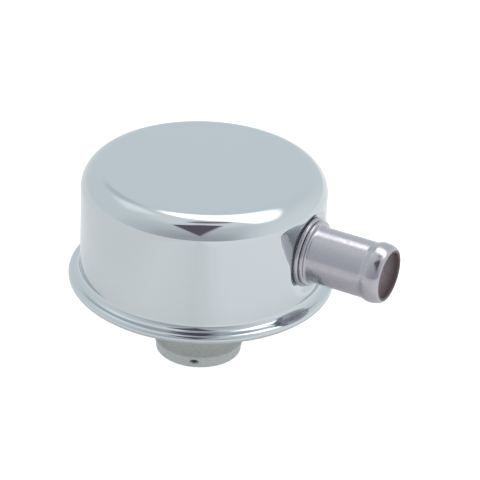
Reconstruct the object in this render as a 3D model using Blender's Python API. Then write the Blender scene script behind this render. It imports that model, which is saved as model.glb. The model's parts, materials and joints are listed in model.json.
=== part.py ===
"""Push-in crankcase breather: a chromed drawn cap hemmed over a base plate, a push-in neck below,
a hose nipple staked through its side wall, and a wire mesh filter stack on a perforated tray inside.

Metres, +Z up. The origin is on the neck's axis, in the plane where the base seats on a grommet.
The hose nipple points along +X.
"""

import math

import bmesh
import bpy
from mathutils import Vector

MM = 0.001

# Drawn cap, outside sizes
FLANGE_DIAMETER = 76.2 * MM
CAP_HEIGHT = 34.4 * MM
FLANGE_WIDTH = 3.25 * MM
WALL_TAPER = 0.6 * MM
SHOULDER_RADIUS = 6.6 * MM
ROOT_FILLET_RADIUS = 1.4 * MM
CAP_THICKNESS = 0.8 * MM
HEM_RETURN = 2.4 * MM

# Base plate
BASE_THICKNESS = 0.9 * MM
BASE_STEP_SETBACK = 1.7 * MM
BASE_STEP_WIDTH = 1.8 * MM
BASE_BEND_RADIUS = 0.9 * MM

# Push-in neck
NECK_DIAMETER = 26.2 * MM
NECK_LENGTH = 24.2 * MM
NECK_THICKNESS = 0.9 * MM
NECK_FLANGE_WIDTH = 4.6 * MM
NECK_BEND_RADIUS = 0.8 * MM
NECK_MOUTH_DIAMETER = 24.9 * MM
NECK_TAPER_LENGTH = 3.7 * MM
NECK_RIM_HEIGHT = 0.6 * MM
DIMPLE_WIDTH = 2.8 * MM
DIMPLE_HEIGHT = 1.6 * MM
DIMPLE_DEPTH = 0.4 * MM
DIMPLE_AZIMUTH = math.radians(-66)

# Hose nipple
NIPPLE_AXIS_HEIGHT = 17.45 * MM
NIPPLE_DIAMETER = 15.8 * MM
NIPPLE_WALL = 1.0 * MM
NIPPLE_REACH = 25.5 * MM
HOSE_BEAD_HEIGHT = 0.55 * MM
HOSE_BEAD_SETBACK = 2.1 * MM
HOSE_BEAD_RAMP = 4.8 * MM
TIP_INSET = 0.45 * MM
TIP_FACE_WIDTH = 0.7 * MM
COLLAR_WIDTH = 1.95 * MM
COLLAR_THICKNESS = 1.3 * MM
SECOND_COLLAR_WIDTH = 1.45 * MM
SECOND_COLLAR_THICKNESS = 1.1 * MM
COLLAR_GROOVE_DEPTH = 0.45 * MM
COLLAR_FILLET_RADIUS = 0.7 * MM
STAKED_RIM_WIDTH = 1.3 * MM
STAKED_RIM_THICKNESS = 1.0 * MM

# Seat pressed flat in the cap's wall for the nipple, its gasket and its backing washer
SEAT_PRESS_DEPTH = 0.65 * MM
SEAT_MARGIN = 0.65 * MM
SEAT_WALL_SLOPE = math.radians(22)
GASKET_INSET = 0.2 * MM
GASKET_THICKNESS = 0.6 * MM
WASHER_WIDTH = 1.9 * MM
WASHER_THICKNESS = 1.0 * MM

# Splash baffle over the neck
BAFFLE_OVERHANG = 3.4 * MM
BAFFLE_STANDOFF = 3.9 * MM
BAFFLE_RISE = 1.2 * MM
BAFFLE_THICKNESS = 0.7 * MM
BAFFLE_CROWN_DIAMETER = 18.0 * MM
BAFFLE_LEG_COUNT = 3
BAFFLE_LEG_WIDTH = 6.0 * MM
BAFFLE_FOOT_CLEARANCE = 2.6 * MM
BAFFLE_FOOT_LENGTH = 3.4 * MM
BAFFLE_LEG_THICKNESS = 0.6 * MM
BAFFLE_LEG_BEND_RADIUS = 0.8 * MM
BAFFLE_LEG_OVERLAP = 3.0 * MM

# Perforated tray that carries the wire mesh
TRAY_SIDE_CLEARANCE = 0.4 * MM
TRAY_STANDOFF = 1.0 * MM
TRAY_THICKNESS = 0.7 * MM
TRAY_BEND_RADIUS = 1.2 * MM
TRAY_HOLE_DIAMETER = 3.6 * MM
TRAY_HOLE_PITCH = 7.2 * MM
TRAY_HOLE_RINGS = 3

# Wire mesh layers between the tray and the cap's crown
MESH_SIDE_CLEARANCE = 1.2 * MM
MESH_LAYER_COUNT = 4
MESH_EDGE_RADIUS = 1.4 * MM

# Clearances
FIT_GAP = 0.3 * MM
CUT_MARGIN = 2.0 * MM

# Facets
CAP_SEGMENTS = 56
PLATE_SEGMENTS = 40
NECK_SEGMENTS = 36
NIPPLE_SEGMENTS = 28
MESH_SEGMENTS = 24
HOLE_SEGMENTS = 8
DIMPLE_SEGMENTS = 12
RAMP_STEPS = 4
NOSE_STEPS = 4
SMOOTH_ANGLE = math.radians(35)

# Places that follow from the sizes above
WALL_DIAMETER_BOTTOM = FLANGE_DIAMETER - 2 * FLANGE_WIDTH
WALL_DIAMETER_TOP = WALL_DIAMETER_BOTTOM - WALL_TAPER
HEM_HEIGHT = 2 * CAP_THICKNESS + BASE_THICKNESS + 2 * FIT_GAP
HEM_BEND_RADIUS = (HEM_HEIGHT - CAP_THICKNESS) / 2
NIPPLE_RADIUS = NIPPLE_DIAMETER / 2
NIPPLE_BORE_RADIUS = NIPPLE_RADIUS - NIPPLE_WALL
CLEAR_HOLE_RADIUS = NIPPLE_RADIUS + FIT_GAP
SEAT_RADIUS = NIPPLE_RADIUS + max(COLLAR_WIDTH, WASHER_WIDTH) + SEAT_MARGIN
SEAT_FACE_X = math.sqrt((WALL_DIAMETER_TOP / 2) ** 2 - SEAT_RADIUS**2) - SEAT_PRESS_DEPTH
GASKET_X = SEAT_FACE_X + FIT_GAP
COLLAR_X = GASKET_X + GASKET_THICKNESS + FIT_GAP
NIPPLE_TIP_X = SEAT_FACE_X + NIPPLE_REACH
HOSE_BEAD_X = NIPPLE_TIP_X - HOSE_BEAD_SETBACK
WASHER_X = SEAT_FACE_X - CAP_THICKNESS - FIT_GAP
STAKED_RIM_X = WASHER_X - WASHER_THICKNESS - FIT_GAP
NIPPLE_INNER_X = STAKED_RIM_X - STAKED_RIM_THICKNESS
BASE_TOP = BASE_THICKNESS + FIT_GAP
NECK_FLANGE_RADIUS = NECK_DIAMETER / 2 + NECK_FLANGE_WIDTH
BAFFLE_HEIGHT = BASE_TOP + NECK_THICKNESS + BAFFLE_STANDOFF + BAFFLE_THICKNESS / 2
TRAY_HEIGHT = BAFFLE_HEIGHT + BAFFLE_RISE + BAFFLE_THICKNESS / 2 + TRAY_STANDOFF + TRAY_THICKNESS


def left_of(way):
    """The unit vector a quarter turn to the left of a direction in the radius and height plane."""
    return Vector((-way.y, way.x))


def turned_way(way, angle):
    """A direction turned to the left by an angle."""
    cosine, sine = math.cos(angle), math.sin(angle)
    return Vector((way.x * cosine - way.y * sine, way.x * sine + way.y * cosine))


def bent_path(corners):
    """Points and left normals along a line of corners, each (radius, height, bend radius, bend steps)."""
    points = [Vector(corner[:2]) for corner in corners]
    first_way = (points[1] - points[0]).normalized()
    path = [(points[0], left_of(first_way))]
    for index in range(1, len(points) - 1):
        way_in = (points[index] - points[index - 1]).normalized()
        way_out = (points[index + 1] - points[index]).normalized()
        bend_radius, steps = corners[index][2:]
        turn = math.atan2(way_in.x * way_out.y - way_in.y * way_out.x, way_in.dot(way_out))
        if steps == 0:
            path.append((points[index], left_of((way_in + way_out).normalized())))
            continue
        side = 1 if turn > 0 else -1
        start = points[index] - way_in * bend_radius * math.tan(abs(turn) / 2)
        centre = start + left_of(way_in) * bend_radius * side
        for step in range(steps + 1):
            way = turned_way(way_in, turn * step / steps)
            path.append((centre - left_of(way) * bend_radius * side, left_of(way)))
    last_way = (points[-1] - points[-2]).normalized()
    path.append((points[-1], left_of(last_way)))
    return path


def sheet_outline(corners, thickness):
    """The closed section of a sheet of even thickness that is bent along a middle line."""
    path = bent_path(corners)
    left = [point + normal * thickness / 2 for point, normal in path]
    right = [point - normal * thickness / 2 for point, normal in path]
    return left + right[::-1]


def arc(centre, radius, start, end, steps):
    """Points on an arc in the radius and height plane, with its angles in degrees."""
    points = []
    for step in range(steps + 1):
        angle = math.radians(start + (end - start) * step / steps)
        points.append(Vector((centre[0] + radius * math.cos(angle), centre[1] + radius * math.sin(angle))))
    return points


def turned_mesh(outline, segments):
    """A mesh turned about Z from a section. A section whose ends are on the axis gets poles there."""
    mesh = bmesh.new()
    profile = [mesh.verts.new((point[0], 0.0, point[1])) for point in outline]
    edges = [mesh.edges.new(pair) for pair in zip(profile, profile[1:])]
    if outline[0][0] > 0 or outline[-1][0] > 0:
        edges.append(mesh.edges.new((profile[-1], profile[0])))
    bmesh.ops.spin(
        mesh,
        geom=profile + edges,
        axis=(0.0, 0.0, 1.0),
        angle=2 * math.pi,
        steps=segments,
        use_merge=True,
    )
    bmesh.ops.remove_doubles(mesh, verts=mesh.verts, dist=MM / 10000)
    bmesh.ops.recalc_face_normals(mesh, faces=mesh.faces)
    return mesh


def extruded_mesh(outline, width):
    """A closed section in the X and Z plane, extruded to a width centred on Y."""
    mesh = bmesh.new()
    corners = [mesh.verts.new((point[0], -width / 2, point[1])) for point in outline]
    side = mesh.faces.new(corners)
    extruded = bmesh.ops.extrude_face_region(mesh, geom=[side])
    moved = [item for item in extruded["geom"] if isinstance(item, bmesh.types.BMVert)]
    bmesh.ops.translate(mesh, verts=moved, vec=(0.0, width, 0.0))
    bmesh.ops.recalc_face_normals(mesh, faces=mesh.faces)
    return mesh


def new_object(name, mesh, material):
    """Makes a visible piece from a bmesh, with its material and smooth round faces."""
    data = bpy.data.meshes.new(name)
    mesh.to_mesh(data)
    mesh.free()
    data.shade_smooth()
    data.set_sharp_from_angle(angle=SMOOTH_ANGLE)
    data.materials.append(material)
    piece = bpy.data.objects.new(name, data)
    bpy.context.scene.collection.objects.link(piece)
    return piece


def new_cutter(name, mesh):
    """Makes a hidden helper from a bmesh, to be cut from a piece or joined to it."""
    data = bpy.data.meshes.new(name)
    mesh.to_mesh(data)
    mesh.free()
    cutter = bpy.data.objects.new(name, data)
    cutter.hide_render = True
    cutter.display_type = "WIRE"
    bpy.context.scene.collection.objects.link(cutter)
    return cutter


def add_boolean(piece, helper, operation):
    """Cuts a helper from a piece, or joins it."""
    modifier = piece.modifiers.new(helper.name, "BOOLEAN")
    modifier.operation = operation
    modifier.object = helper


def metal(name, colour, roughness, metallic=1.0):
    """A material with a colour, a roughness and a metallic value."""
    made = bpy.data.materials.new(name)
    made.use_nodes = True
    shader = made.node_tree.nodes["Principled BSDF"]
    shader.inputs["Base Color"].default_value = (*colour, 1.0)
    shader.inputs["Roughness"].default_value = roughness
    shader.inputs["Metallic"].default_value = metallic
    return made


def lay_along_nipple(piece):
    """Turns a piece made about Z so that its height runs along the hose nipple's axis."""
    piece.rotation_euler = (0.0, math.pi / 2, 0.0)
    piece.location = (0.0, 0.0, NIPPLE_AXIS_HEIGHT)


def cap_corners():
    """The cap's middle line, from the centre of its crown to the free edge of its hem."""
    half = CAP_THICKNESS / 2
    crown = CAP_HEIGHT - half
    flange = HEM_HEIGHT - half
    rim = FLANGE_DIAMETER / 2 - half
    return [
        (0.0, crown, 0.0, 0),
        (WALL_DIAMETER_TOP / 2 - half, crown, SHOULDER_RADIUS - half, 6),
        (WALL_DIAMETER_BOTTOM / 2 - half, flange, ROOT_FILLET_RADIUS + half, 3),
        (rim, flange, HEM_BEND_RADIUS, 4),
        (rim, half, HEM_BEND_RADIUS, 4),
        (rim - HEM_BEND_RADIUS - HEM_RETURN, half, 0.0, 0),
    ]


def cone_along_nipple(name, start_radius, start, end):
    """A helper round the nipple's axis that widens outwards at the slope of the seat's wall."""
    end_radius = start_radius + (end - start) * math.tan(SEAT_WALL_SLOPE)
    corners = [(0.0, start), (start_radius, start), (end_radius, end), (0.0, end)]
    cone = new_cutter(name, turned_mesh(corners, NIPPLE_SEGMENTS))
    lay_along_nipple(cone)
    return cone


def make_cap(material):
    """The drawn cap: shoulder, wall, flange hemmed under the base plate, and a pressed nipple seat."""
    cap = new_object("outer_shell", turned_mesh(sheet_outline(cap_corners(), CAP_THICKNESS), CAP_SEGMENTS), material)
    cup_start = SEAT_FACE_X - CAP_THICKNESS
    beyond_wall = WALL_DIAMETER_BOTTOM / 2 + CUT_MARGIN
    cup_margin = CAP_THICKNESS * (1 / math.cos(SEAT_WALL_SLOPE) - math.tan(SEAT_WALL_SLOPE))
    cup = cone_along_nipple("seat_cup", SEAT_RADIUS + cup_margin, cup_start, beyond_wall)
    inside_line = [point for point, normal in bent_path(cap_corners()[:3] + [(0.0, HEM_HEIGHT, 0.0, 0)])]
    inside = new_cutter("seat_cup_limit", turned_mesh(inside_line, CAP_SEGMENTS))
    add_boolean(cup, inside, "INTERSECT")
    add_boolean(cap, cup, "UNION")
    add_boolean(cap, cone_along_nipple("seat_pocket", SEAT_RADIUS, SEAT_FACE_X, beyond_wall), "DIFFERENCE")
    hole_start, hole_end = cup_start - CUT_MARGIN, SEAT_FACE_X + CUT_MARGIN
    corners = [
        (0.0, hole_start),
        (CLEAR_HOLE_RADIUS, hole_start),
        (CLEAR_HOLE_RADIUS, hole_end),
        (0.0, hole_end),
    ]
    hole = new_cutter("nipple_hole_cutter", turned_mesh(corners, NIPPLE_SEGMENTS))
    lay_along_nipple(hole)
    add_boolean(cap, hole, "DIFFERENCE")


def make_base_plate(material):
    """The stamped plate: flat round the neck's hole, stepped up to the edge that the hem grips."""
    half = BASE_THICKNESS / 2
    edge_height = CAP_THICKNESS + FIT_GAP + half
    hem_bend = (FLANGE_DIAMETER - CAP_THICKNESS) / 2 - HEM_BEND_RADIUS
    step_start = hem_bend - HEM_RETURN - BASE_STEP_SETBACK - BASE_STEP_WIDTH
    corners = [
        (NECK_DIAMETER / 2 + FIT_GAP, half, 0.0, 0),
        (step_start, half, BASE_BEND_RADIUS, 2),
        (step_start + BASE_STEP_WIDTH, edge_height, BASE_BEND_RADIUS, 2),
        (hem_bend + FIT_GAP / 2, edge_height, 0.0, 0),
    ]
    new_object("base_plate", turned_mesh(sheet_outline(corners, BASE_THICKNESS), PLATE_SEGMENTS), material)


def make_neck(material):
    """The push-in neck: a flange on top of the base plate, a plain tube, and a tapered mouth."""
    half = NECK_THICKNESS / 2
    wall = NECK_DIAMETER / 2 - half
    flange = BASE_TOP + half
    corners = [
        (NECK_FLANGE_RADIUS, flange, 0.0, 0),
        (wall, flange, NECK_BEND_RADIUS, 3),
        (wall, NECK_TAPER_LENGTH - NECK_LENGTH, 0.0, 0),
        (NECK_MOUTH_DIAMETER / 2 - half, NECK_RIM_HEIGHT - NECK_LENGTH, 0.0, 0),
        (NECK_MOUTH_DIAMETER / 2 - half, -NECK_LENGTH, 0.0, 0),
    ]
    outline = sheet_outline(corners, NECK_THICKNESS)
    neck = new_object("neck_tube", turned_mesh(outline, NECK_SEGMENTS), material)
    mesh = bmesh.new()
    bmesh.ops.create_uvsphere(mesh, u_segments=DIMPLE_SEGMENTS, v_segments=DIMPLE_SEGMENTS // 2, radius=1.0)
    bmesh.ops.scale(mesh, verts=mesh.verts, vec=(DIMPLE_DEPTH, DIMPLE_WIDTH / 2, DIMPLE_HEIGHT / 2))
    punch = new_cutter("dimple_cutter", mesh)
    radius = (NECK_DIAMETER + NECK_MOUTH_DIAMETER) / 4
    punch.rotation_euler = (0.0, 0.0, DIMPLE_AZIMUTH)
    punch.location = (
        radius * math.cos(DIMPLE_AZIMUTH),
        radius * math.sin(DIMPLE_AZIMUTH),
        NECK_TAPER_LENGTH / 2 - NECK_LENGTH,
    )
    add_boolean(neck, punch, "DIFFERENCE")


def nipple_outside():
    """The nipple's outside from its staked inner rim to its tip, as (radius, distance from the origin)."""
    tube = NIPPLE_RADIUS
    second_x = COLLAR_X + COLLAR_THICKNESS
    tube_x = second_x + SECOND_COLLAR_THICKNESS
    groove = tube + SECOND_COLLAR_WIDTH - COLLAR_GROOVE_DEPTH
    bead = tube + HOSE_BEAD_HEIGHT
    tip = NIPPLE_BORE_RADIUS - TIP_INSET + TIP_FACE_WIDTH
    fold, second_fold = COLLAR_THICKNESS / 2, SECOND_COLLAR_THICKNESS / 2
    rim = tube + STAKED_RIM_WIDTH
    points = [Vector((rim, NIPPLE_INNER_X)), Vector((rim, STAKED_RIM_X)), Vector((tube, STAKED_RIM_X))]
    points += [Vector((tube, COLLAR_X))]
    points += arc((tube + COLLAR_WIDTH - fold, COLLAR_X + fold), fold, -90, 70, 4)
    points += [Vector((groove, second_x))]
    points += arc((tube + SECOND_COLLAR_WIDTH - second_fold, second_x + second_fold), second_fold, -70, 90, 4)
    points += arc((tube + COLLAR_FILLET_RADIUS, tube_x + COLLAR_FILLET_RADIUS), COLLAR_FILLET_RADIUS, 270, 180, 2)
    for step in range(RAMP_STEPS + 1):
        share = step / RAMP_STEPS
        eased = share * share * (3 - 2 * share)
        points.append(Vector((tube + (bead - tube) * eased, HOSE_BEAD_X - HOSE_BEAD_RAMP * (1 - share))))
    for step in range(1, NOSE_STEPS + 1):
        angle = math.pi / 2 * step / NOSE_STEPS
        radius = tip + (bead - tip) * math.cos(angle)
        points.append(Vector((radius, HOSE_BEAD_X + HOSE_BEAD_SETBACK * math.sin(angle))))
    return points


def make_nipple(material):
    """The hose nipple: staked inner rim, folded double collar, plain tube and a rolled hose bead."""
    tip_bore = NIPPLE_BORE_RADIUS - TIP_INSET
    inside = [
        Vector((tip_bore, NIPPLE_TIP_X)),
        Vector((tip_bore, HOSE_BEAD_X)),
        Vector((NIPPLE_BORE_RADIUS, HOSE_BEAD_X - HOSE_BEAD_SETBACK)),
        Vector((NIPPLE_BORE_RADIUS, NIPPLE_INNER_X)),
    ]
    nipple = new_object("hose_nipple", turned_mesh(nipple_outside() + inside, NIPPLE_SEGMENTS), material)
    lay_along_nipple(nipple)


def make_nipple_ring(name, radius, start, thickness, material):
    """A flat ring round the nipple: its outside gasket, or the washer that backs its staked rim."""
    corners = [
        (CLEAR_HOLE_RADIUS, start),
        (radius, start),
        (radius, start + thickness),
        (CLEAR_HOLE_RADIUS, start + thickness),
    ]
    ring = new_object(name, turned_mesh(corners, NIPPLE_SEGMENTS), material)
    lay_along_nipple(ring)


def make_baffle(material):
    """The splash baffle: a dished disc that stands over the neck on bent legs."""
    edge = NECK_DIAMETER / 2 + BAFFLE_OVERHANG
    disc_corners = [
        (0.0, BAFFLE_HEIGHT + BAFFLE_RISE, 0.0, 0),
        (BAFFLE_CROWN_DIAMETER / 2, BAFFLE_HEIGHT + BAFFLE_RISE, 0.0, 0),
        (edge - BAFFLE_LEG_OVERLAP - BAFFLE_LEG_BEND_RADIUS, BAFFLE_HEIGHT, 0.0, 0),
        (edge, BAFFLE_HEIGHT, 0.0, 0),
    ]
    mesh = turned_mesh(sheet_outline(disc_corners, BAFFLE_THICKNESS), NIPPLE_SEGMENTS)
    baffle = new_object("splash_baffle", mesh, material)
    foot = BASE_TOP + BAFFLE_LEG_THICKNESS / 2
    foot_start = NECK_FLANGE_RADIUS + BAFFLE_FOOT_CLEARANCE
    leg_corners = [
        (edge - BAFFLE_LEG_OVERLAP, BAFFLE_HEIGHT, 0.0, 0),
        (edge + BAFFLE_LEG_BEND_RADIUS, BAFFLE_HEIGHT, BAFFLE_LEG_BEND_RADIUS, 2),
        (foot_start, foot, BAFFLE_LEG_BEND_RADIUS, 2),
        (foot_start + BAFFLE_FOOT_LENGTH, foot, 0.0, 0),
    ]
    for index in range(BAFFLE_LEG_COUNT):
        outline = sheet_outline(leg_corners, BAFFLE_LEG_THICKNESS)
        leg = new_cutter(f"baffle_leg_{index + 1}", extruded_mesh(outline, BAFFLE_LEG_WIDTH))
        leg.rotation_euler = (0.0, 0.0, 2 * math.pi * (index + 0.5) / BAFFLE_LEG_COUNT)
        add_boolean(baffle, leg, "UNION")


def make_tray(material):
    """The perforated tray, whose turned-down skirt stands on the base plate."""
    half = TRAY_THICKNESS / 2
    wall = NIPPLE_INNER_X - TRAY_SIDE_CLEARANCE - half
    deck = TRAY_HEIGHT - half
    corners = [
        (0.0, deck, 0.0, 0),
        (wall, deck, TRAY_BEND_RADIUS, 3),
        (wall, BASE_TOP, 0.0, 0),
    ]
    mesh = turned_mesh(sheet_outline(corners, TRAY_THICKNESS), PLATE_SEGMENTS)
    tray = new_object("mesh_tray", mesh, material)
    drills = bmesh.new()
    for ring in range(TRAY_HOLE_RINGS + 1):
        for index in range(max(6 * ring, 1)):
            angle = 2 * math.pi * index / max(6 * ring, 1)
            made = bmesh.ops.create_cone(
                drills,
                cap_ends=True,
                segments=HOLE_SEGMENTS,
                radius1=TRAY_HOLE_DIAMETER / 2,
                radius2=TRAY_HOLE_DIAMETER / 2,
                depth=TRAY_THICKNESS + 2 * CUT_MARGIN,
            )
            radius = ring * TRAY_HOLE_PITCH
            place = (radius * math.cos(angle), radius * math.sin(angle), deck)
            bmesh.ops.translate(drills, verts=made["verts"], vec=place)
    add_boolean(tray, new_cutter("tray_hole_cutter", drills), "DIFFERENCE")


def make_mesh_layers(material):
    """The stack of knitted wire mesh discs, held between the tray and the inside of the cap's crown."""
    floor = TRAY_HEIGHT + FIT_GAP
    ceiling = CAP_HEIGHT - CAP_THICKNESS - FIT_GAP
    pitch = (ceiling - floor + FIT_GAP) / MESH_LAYER_COUNT
    radius = NIPPLE_INNER_X - MESH_SIDE_CLEARANCE
    for index in range(MESH_LAYER_COUNT):
        low = floor + index * pitch
        high = low + pitch - FIT_GAP
        outline = [Vector((0.0, low))]
        outline += arc((radius - MESH_EDGE_RADIUS, low + MESH_EDGE_RADIUS), MESH_EDGE_RADIUS, -90, 0, 2)
        outline += arc((radius - MESH_EDGE_RADIUS, high - MESH_EDGE_RADIUS), MESH_EDGE_RADIUS, 0, 90, 2)
        outline += [Vector((0.0, high))]
        new_object(f"wire_mesh_{index + 1}", turned_mesh(outline, MESH_SEGMENTS), material)


def main():
    """Clears the scene and builds every piece."""
    for item in list(bpy.data.objects):
        bpy.data.objects.remove(item, do_unlink=True)
    make_cap(metal("polished chrome plate", (0.80, 0.82, 0.84), 0.04))
    make_base_plate(metal("zinc plated steel", (0.55, 0.56, 0.53), 0.35))
    make_neck(metal("clear zinc plate", (0.57, 0.59, 0.56), 0.32))
    make_nipple(metal("satin nickel plate", (0.56, 0.55, 0.60), 0.24))
    black_fibre = metal("black fibre", (0.02, 0.02, 0.022), 0.7, 0.0)
    gasket_radius = NIPPLE_RADIUS + COLLAR_WIDTH - GASKET_INSET
    make_nipple_ring("nipple_gasket", gasket_radius, GASKET_X, GASKET_THICKNESS, black_fibre)
    washer_steel = metal("plain washer steel", (0.5, 0.5, 0.5), 0.35)
    washer_radius, washer_start = NIPPLE_RADIUS + WASHER_WIDTH, WASHER_X - WASHER_THICKNESS
    make_nipple_ring("nipple_washer", washer_radius, washer_start, WASHER_THICKNESS, washer_steel)
    make_baffle(metal("bare sheet steel", (0.42, 0.42, 0.42), 0.45))
    make_tray(metal("punched sheet steel", (0.46, 0.46, 0.46), 0.4))
    make_mesh_layers(metal("knitted steel wire", (0.38, 0.38, 0.4), 0.5))


main()
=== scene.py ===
"""Looks of a push-in crankcase breather: polished chrome cap, satin plated hose nipple and zinc plated neck.

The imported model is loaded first, and the boxes of its solids place the pieces. Metres, +Z up.
"""

import json
import math

import bmesh
import bpy
from bpy.props import FloatProperty, FloatVectorProperty, IntProperty, PointerProperty
from mathutils import Matrix, Vector

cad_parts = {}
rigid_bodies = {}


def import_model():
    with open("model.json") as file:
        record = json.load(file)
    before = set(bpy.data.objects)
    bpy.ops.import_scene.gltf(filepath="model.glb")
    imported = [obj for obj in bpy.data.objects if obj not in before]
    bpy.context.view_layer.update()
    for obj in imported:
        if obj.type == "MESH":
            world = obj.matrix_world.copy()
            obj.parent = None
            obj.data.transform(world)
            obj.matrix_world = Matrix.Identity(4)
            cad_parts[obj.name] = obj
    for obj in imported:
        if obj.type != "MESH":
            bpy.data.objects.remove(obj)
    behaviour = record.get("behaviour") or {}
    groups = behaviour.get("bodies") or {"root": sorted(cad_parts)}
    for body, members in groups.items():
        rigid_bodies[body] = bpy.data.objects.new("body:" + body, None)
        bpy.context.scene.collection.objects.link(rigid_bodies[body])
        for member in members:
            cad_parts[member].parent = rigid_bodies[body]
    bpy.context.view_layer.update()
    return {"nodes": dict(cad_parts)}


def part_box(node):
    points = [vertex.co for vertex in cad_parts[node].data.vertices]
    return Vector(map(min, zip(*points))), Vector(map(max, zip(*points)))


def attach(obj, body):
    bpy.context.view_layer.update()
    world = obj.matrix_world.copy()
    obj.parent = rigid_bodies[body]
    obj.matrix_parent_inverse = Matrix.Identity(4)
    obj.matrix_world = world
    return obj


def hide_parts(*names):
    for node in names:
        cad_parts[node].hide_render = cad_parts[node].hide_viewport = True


bl_info = {
    "name": "Push-in Breather",
    "version": (1, 0, 0),
    "blender": (4, 5, 0),
    "location": "View3D > Sidebar > Breather",
    "description": "Builds a chromed push-in crankcase breather and its studio",
    "category": "Object",
}

for startup_object in list(bpy.data.objects):
    bpy.data.objects.remove(startup_object)
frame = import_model()

MM = 0.001
CAP_LOW, CAP_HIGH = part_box("outer_shell")
NECK_LOW, NECK_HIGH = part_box("neck_tube")
NIPPLE_LOW, NIPPLE_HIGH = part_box("hose_nipple")
SEAL_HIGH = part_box("nipple_gasket")[1]
WASHER_LOW, WASHER_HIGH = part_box("nipple_washer")

FIT_GAP = 0.3 * MM
CAP_HEIGHT = CAP_HIGH[2] - CAP_LOW[2]
NIPPLE_AXIS_HEIGHT = (NIPPLE_LOW[2] + NIPPLE_HIGH[2]) / 2
COLLAR_DIAMETER = NIPPLE_HIGH[2] - NIPPLE_LOW[2]
COLLAR_X = SEAL_HIGH[0] + FIT_GAP
# The pressed mark's place round the neck, from +X
MARK_TURN = math.radians(-66)
# How far a knitted loop reaches past its course, as a share of the course pitch
LOOP_REACH = 0.55

SHARP_ANGLE = math.radians(38)
ROUND_SEGMENTS = 256
NIPPLE_SEGMENTS = 160
RING_SEGMENTS = 128
HOLE_SEGMENTS = 96
# The cap is finer round its pressed seat, and has no rows in the middle of its flat crown
CAP_SEGMENTS = 190
SEAT_SEGMENTS = 90
SEAT_HALF_TURN = math.radians(24)
PLAIN_CROWN_RADIUS = 14 * MM
CAP_ROW_STEP = 0.45 * MM
BASE_ROW_STEP = 1.5 * MM
NECK_ROW_STEP = 0.35 * MM
WHITE = (1.0, 1.0, 1.0, 1.0)


def length(name, description, default, low=0.0, high=0.2):
    """A length that a user can change, in metres."""
    return FloatProperty(
        name=name, description=description, default=default, min=low, max=high, unit="LENGTH", precision=5
    )


def angle(name, description, degrees):
    """An angle that a user can change."""
    return FloatProperty(name=name, description=description, default=math.radians(degrees), subtype="ANGLE")


def linear(hex_colour):
    """A linear RGB colour from an sRGB hex value such as #a0b0c0."""
    channels = [int(hex_colour[index : index + 2], 16) / 255 for index in (1, 3, 5)]
    return tuple(c / 12.92 if c <= 0.04045 else ((c + 0.055) / 1.055) ** 2.4 for c in channels)


def tint(name, description, hex_colour):
    """A colour that a user can change."""
    return FloatVectorProperty(
        name=name,
        description=description,
        default=linear(hex_colour),
        subtype="COLOR",
        size=3,
        min=0.0,
        max=1.0,
    )


def amount(name, description, default):
    """A brightness that a user can change."""
    return FloatProperty(name=name, description=description, default=default, min=0.0)


class BreatherCapSizes(bpy.types.PropertyGroup):
    """Sizes of the drawn cap and the seat pressed into its wall."""

    wall_radius_top: length("Wall radius, top", "Outside radius of the wall below its shoulder", 34.55 * MM)
    wall_radius_bottom: length("Wall radius, bottom", "Outside radius of the wall at its foot", 34.85 * MM)
    shoulder_radius: length("Shoulder radius", "Outside bend between crown and wall", 6.6 * MM)
    root_radius: length("Root radius", "Inside bend between wall and flange", 1.9 * MM)
    thickness: length("Sheet thickness", "Thickness of the drawn sheet", 0.8 * MM)
    hem_height: length("Hem height", "Height of the curled rim above the base's underside", 2.0 * MM)
    hem_drop: length("Hem drop", "How far the curled rim hangs below the base's underside", 0.6 * MM)
    hem_return: length("Hem return", "How far the curled sheet reaches back under the base", 2.7 * MM)
    seat_margin: length("Seat margin", "How far the pressed flat reaches past the collar", 0.1 * MM)
    seat_blend: length("Seat blend", "Width over which the flat runs out into the round wall", 2.6 * MM)
    seat_gap: length("Seat gap", "Space between the pressed flat and the nipple's collar", 0.2 * MM)


class BreatherPlateSizes(bpy.types.PropertyGroup):
    """Sizes of the base plate and the push-in neck."""

    base_thickness: length("Base thickness", "Thickness of the base plate", 0.7 * MM)
    step_width: length("Step width", "Width of the slope between the base's two levels", 1.8 * MM)
    step_setback: length("Step setback", "Distance from the hem's free edge to the step", 1.7 * MM)
    neck_radius: length("Neck radius", "Outside radius of the neck", 13.1 * MM)
    mouth_radius: length("Mouth radius", "Outside radius of the neck's mouth", 12.45 * MM)
    taper_length: length("Taper length", "Height of the narrowing at the neck's mouth", 3.7 * MM)
    neck_thickness: length("Neck thickness", "Thickness of the neck's wall", 0.9 * MM)
    dimple_width: length("Dimple width", "Width of the mark pressed into the neck", 3.5 * MM)
    dimple_height: length("Dimple height", "Height of the mark pressed into the neck", 2.0 * MM)
    dimple_depth: length("Dimple depth", "Depth of the mark pressed into the neck", 0.5 * MM)


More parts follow.
